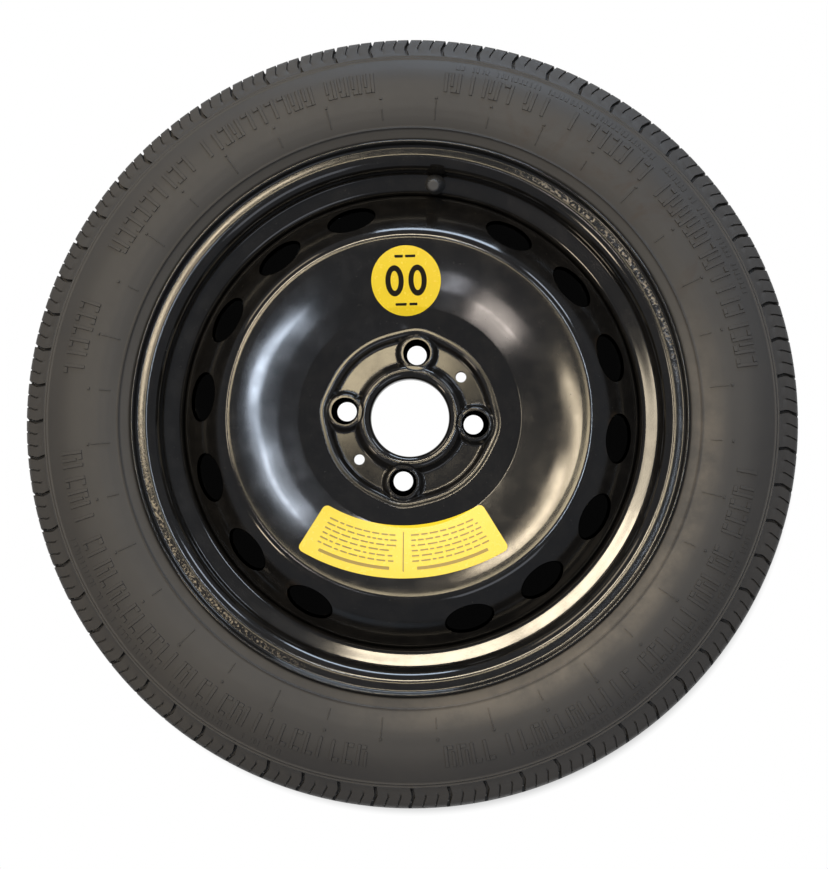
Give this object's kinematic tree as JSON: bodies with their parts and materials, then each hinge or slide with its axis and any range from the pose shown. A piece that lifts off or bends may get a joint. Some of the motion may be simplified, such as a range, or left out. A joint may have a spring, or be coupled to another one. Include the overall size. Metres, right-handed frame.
{
  "type": "space saver spare wheel",
  "caption": "Narrow temporary spare wheel: a space saver tyre on a black pressed steel wheel with a snap-in valve and a ring of vent holes.",
  "frame": {"origin": "on the axle in the middle plane of the rim, which is the middle of the tyre's width", "axes": "+Z along the axle to the outboard face, which looks up; +Y points to where the picture's top is, 6 degrees of turn from the valve"},
  "size_m": [0.581, 0.581, 0.1254],
  "materials": {
    "tyre_rubber": "moulded rubber, dull with a faint sheen",
    "black_paint": "gloss black paint over steel",
    "weld_metal": "weld bead under black paint",
    "valve_rubber": "dull black rubber",
    "valve_brass": "turned brass",
    "core_seal": "dull seal rubber",
    "spring_steel": "drawn steel wire",
    "cap_plastic": "moulded dark grey plastic",
    "sticker_film": "printed yellow film"
  },
  "bodies": {
    "wheel": {"tyre": "tyre_rubber", "rim": "black_paint", "wheel_disc": "black_paint", "disc_welds": "weld_metal", "valve_body": "valve_rubber", "valve_stem": "valve_brass", "core_barrel": "valve_brass", "core_gasket": "core_seal", "core_spring": "spring_steel", "speed_sticker": "sticker_film", "notice_sticker": "sticker_film"},
    "valve_pin": {"core_pin": "valve_brass", "core_cup_seal": "core_seal"},
    "cap_washer": {"cap_seal": "core_seal"},
    "cap": {"valve_cap": "cap_plastic"}
  },
  "joints": [
    {"name": "pin_press", "type": "slide", "parent": "wheel", "child": "valve_pin", "axis": [0.0242, 0.2299, -0.9729], "range_m": [0, 0.0012], "stiffness_N_per_m": 1500, "springref_m": -0.001, "deforming": ["core_spring"]},
    {"name": "cap_lift", "type": "slide", "parent": "wheel", "child": "cap_washer", "axis": [-0.0242, -0.2299, 0.9729], "range_m": [0, 0.00794]},
    {"name": "cap_turn", "type": "hinge", "parent": "cap_washer", "child": "cap", "pos_m": [0.01876, 0.17844, 0.03438], "axis": [-0.0242, -0.2299, 0.9729], "range_deg": [0, 3600]}
  ],
  "couplings": [
    {"joint": "cap_turn", "follows": "cap_lift", "rad_per_m": 7913.3}
  ]
}
